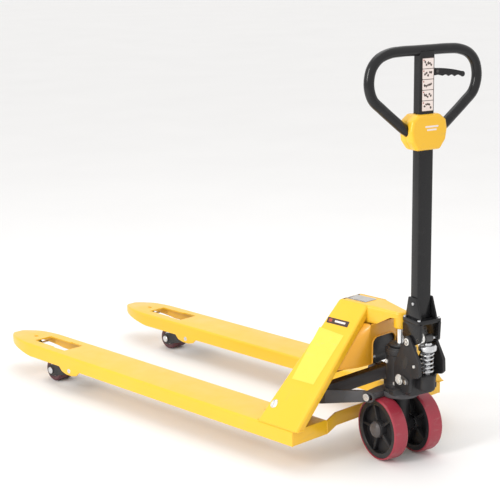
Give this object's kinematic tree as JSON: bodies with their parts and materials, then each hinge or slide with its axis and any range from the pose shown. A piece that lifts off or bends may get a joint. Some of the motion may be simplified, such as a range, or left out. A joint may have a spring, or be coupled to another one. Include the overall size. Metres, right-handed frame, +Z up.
{
  "type": "pallet jack",
  "caption": "Hand pallet jack with two long forks, twin steer wheels, a hydraulic pump under a tall loop handle, and load rollers on linkage arms.",
  "frame": {"origin": "centre of the footprint, on the floor", "axes": "+Z up, +Y along the forks towards their tips, +X to the right seen from the handle"},
  "size_m": [0.686, 1.739, 1.2353],
  "materials": {
    "yellow_paint": "semi-gloss powder coat",
    "black_paint": "gloss",
    "black_casting": "satin paint over casting",
    "dark_steel": "dull",
    "zinc_steel": "zinc plated",
    "chrome_ram": "hard chrome",
    "red_tyre": "satin polyurethane",
    "black_plastic": "fine texture",
    "label": "printed film"
  },
  "bodies": {
    "base": {"thrust_bracket": "black_casting", "thrust_bearing": "dark_steel"},
    "chassis": {"head_beam": "yellow_paint", "front_bulkhead": "yellow_paint", "arch_shield": "black_casting", "rear_bulkhead": "yellow_paint", "cross_member": "yellow_paint", "data_plate": "label", "fork_left": "yellow_paint", "fork_right": "yellow_paint", "leg_left": "yellow_paint", "leg_right": "yellow_paint", "arm_pivot_pin_left": "zinc_steel", "arm_pivot_pin_right": "zinc_steel", "entry_axle_left": "zinc_steel", "entry_axle_right": "zinc_steel", "lift_ram": "chrome_ram"},
    "rocker": {"rocker_shaft": "zinc_steel", "rocker_yoke": "black_casting", "rocker_crank_left": "black_casting", "rocker_crank_right": "black_casting", "crank_pin_left": "zinc_steel", "crank_pin_right": "zinc_steel"},
    "pump": {"pump_body": "black_casting", "pump_gland": "black_casting", "handle_shaft": "zinc_steel", "pump_spring": "zinc_steel", "valve_stem": "zinc_steel", "steer_axle": "dark_steel"},
    "plunger": {"pump_plunger": "zinc_steel"},
    "release_lever": {"release_lever": "dark_steel"},
    "handle": {"handle_base": "black_paint", "plunger_roller_pin": "zinc_steel", "handle_tube": "black_paint", "handle_loop": "black_paint", "loop_cover_front": "yellow_paint", "loop_cover_rear": "yellow_paint", "lever_pin": "zinc_steel", "pictogram_strip": "label"},
    "plunger_roller": {"plunger_roller": "zinc_steel"},
    "finger_lever": {"finger_lever": "black_paint"},
    "pull_rod": {"pull_rod": "zinc_steel"},
    "push_rod_left": {"push_rod_left": "dark_steel"},
    "wheel_arm_left": {"wheel_arm_left": "black_casting", "horn_pin_left": "zinc_steel", "roller_axle_left": "zinc_steel"},
    "load_roller_left": {"load_roller_left": "dark_steel"},
    "entry_roller_left": {"entry_roller_left": "dark_steel"},
    "steer_wheel_left": {"wheel_hub_left": "black_casting", "tyre_left": "red_tyre", "wheel_cap_left": "black_plastic"},
    "push_rod_right": {"push_rod_right": "dark_steel"},
    "wheel_arm_right": {"wheel_arm_right": "black_casting", "horn_pin_right": "zinc_steel", "roller_axle_right": "zinc_steel"},
    "load_roller_right": {"load_roller_right": "dark_steel"},
    "entry_roller_right": {"entry_roller_right": "dark_steel"},
    "steer_wheel_right": {"wheel_hub_right": "black_casting", "tyre_right": "red_tyre", "wheel_cap_right": "black_plastic"}
  },
  "joints": [
    {"name": "lift", "type": "slide", "parent": "base", "child": "chassis", "axis": [0, 0, 1], "range_m": [-0.043, 0.072]},
    {"name": "rocker_turn", "type": "hinge", "parent": "chassis", "child": "rocker", "pos_m": [0, -0.47446, 0.175], "axis": [1, 0, 0], "range_deg": [-12.7, 21]},
    {"name": "steer", "type": "hinge", "parent": "base", "child": "pump", "pos_m": [0, -0.71046, 0.2], "axis": [0, 0, 1], "range_deg": [-77.2, 102.8]},
    {"name": "handle_tilt", "type": "hinge", "parent": "pump", "child": "handle", "pos_m": [-0.02038, -0.80017, 0.382], "axis": [0.9751, -0.2215, 0], "range_deg": [0, 75], "stiffness_Nm_per_rad": 40, "springref_deg": -20.05},
    {"name": "plunger_stroke", "type": "slide", "parent": "pump", "child": "plunger", "axis": [0, 0, -1], "range_m": [0, 0.0455], "deforming": ["pump_spring"]},
    {"name": "plunger_roller_spin", "type": "hinge", "parent": "handle", "child": "plunger_roller", "pos_m": [-0.02791, -0.83333, 0.393], "axis": [0.9751, -0.2215, 0], "continuous": true},
    {"name": "finger_lever_squeeze", "type": "hinge", "parent": "handle", "child": "finger_lever", "pos_m": [0.01494, -0.80717, 1.16], "axis": [-0.2215, -0.9751, 0], "range_deg": [0, 14], "stiffness_Nm_per_rad": 0.4, "springref_deg": -22.92},
    {"name": "pull_rod_slide", "type": "slide", "parent": "handle", "child": "pull_rod", "axis": [0, 0, -1], "range_m": [0, 0.0075]},
    {"name": "release_lever_turn", "type": "hinge", "parent": "pump", "child": "release_lever", "pos_m": [-0.07198, -0.79256, 0.262], "axis": [0.9751, -0.2215, 0], "range_deg": [-10, 0]},
    {"name": "push_rod_slide_left", "type": "slide", "parent": "chassis", "child": "push_rod_left", "axis": [0, 1, 0], "range_m": [-0.0106, 0.0176]},
    {"name": "wheel_arm_swing_left", "type": "hinge", "parent": "chassis", "child": "wheel_arm_left", "pos_m": [-0.267, 0.47454, 0.076], "axis": [-1, 0, 0], "range_deg": [-17.9, 29.9]},
    {"name": "load_roller_spin_left", "type": "hinge", "parent": "wheel_arm_left", "child": "load_roller_left", "pos_m": [-0.267, 0.62054, 0.04], "axis": [1, 0, 0], "continuous": true},
    {"name": "entry_roller_spin_left", "type": "hinge", "parent": "chassis", "child": "entry_roller_left", "pos_m": [-0.267, 0.76754, 0.096], "axis": [1, 0, 0], "continuous": true},
    {"name": "steer_wheel_spin_left", "type": "hinge", "parent": "pump", "child": "steer_wheel_left", "pos_m": [-0.06241, -0.69628, 0.094], "axis": [0.9751, -0.2215, 0], "continuous": true},
    {"name": "push_rod_slide_right", "type": "slide", "parent": "chassis", "child": "push_rod_right", "axis": [0, 1, 0], "range_m": [-0.0106, 0.0176]},
    {"name": "wheel_arm_swing_right", "type": "hinge", "parent": "chassis", "child": "wheel_arm_right", "pos_m": [0.267, 0.47454, 0.076], "axis": [-1, 0, 0], "range_deg": [-17.9, 29.9]},
    {"name": "load_roller_spin_right", "type": "hinge", "parent": "wheel_arm_right", "child": "load_roller_right", "pos_m": [0.267, 0.62054, 0.04], "axis": [1, 0, 0], "continuous": true},
    {"name": "entry_roller_spin_right", "type": "hinge", "parent": "chassis", "child": "entry_roller_right", "pos_m": [0.267, 0.76754, 0.096], "axis": [1, 0, 0], "continuous": true},
    {"name": "steer_wheel_spin_right", "type": "hinge", "parent": "pump", "child": "steer_wheel_right", "pos_m": [0.06241, -0.72464, 0.094], "axis": [0.9751, -0.2215, 0], "continuous": true}
  ],
  "couplings": [
    {"joint": "rocker_turn", "follows": "lift", "rad_per_m": 5.05},
    {"joint": "plunger_stroke", "follows": "handle_tilt", "m_per_rad": 0.0345},
    {"joint": "pull_rod_slide", "follows": "finger_lever_squeeze", "m_per_rad": 0.03},
    {"joint": "release_lever_turn", "follows": "finger_lever_squeeze", "ratio": -0.7},
    {"joint": "push_rod_slide_left", "follows": "lift", "ratio": 0.2424},
    {"joint": "wheel_arm_swing_left", "follows": "lift", "rad_per_m": 7.2},
    {"joint": "push_rod_slide_right", "follows": "lift", "ratio": 0.2424},
    {"joint": "wheel_arm_swing_right", "follows": "lift", "rad_per_m": 7.2}
  ]
}
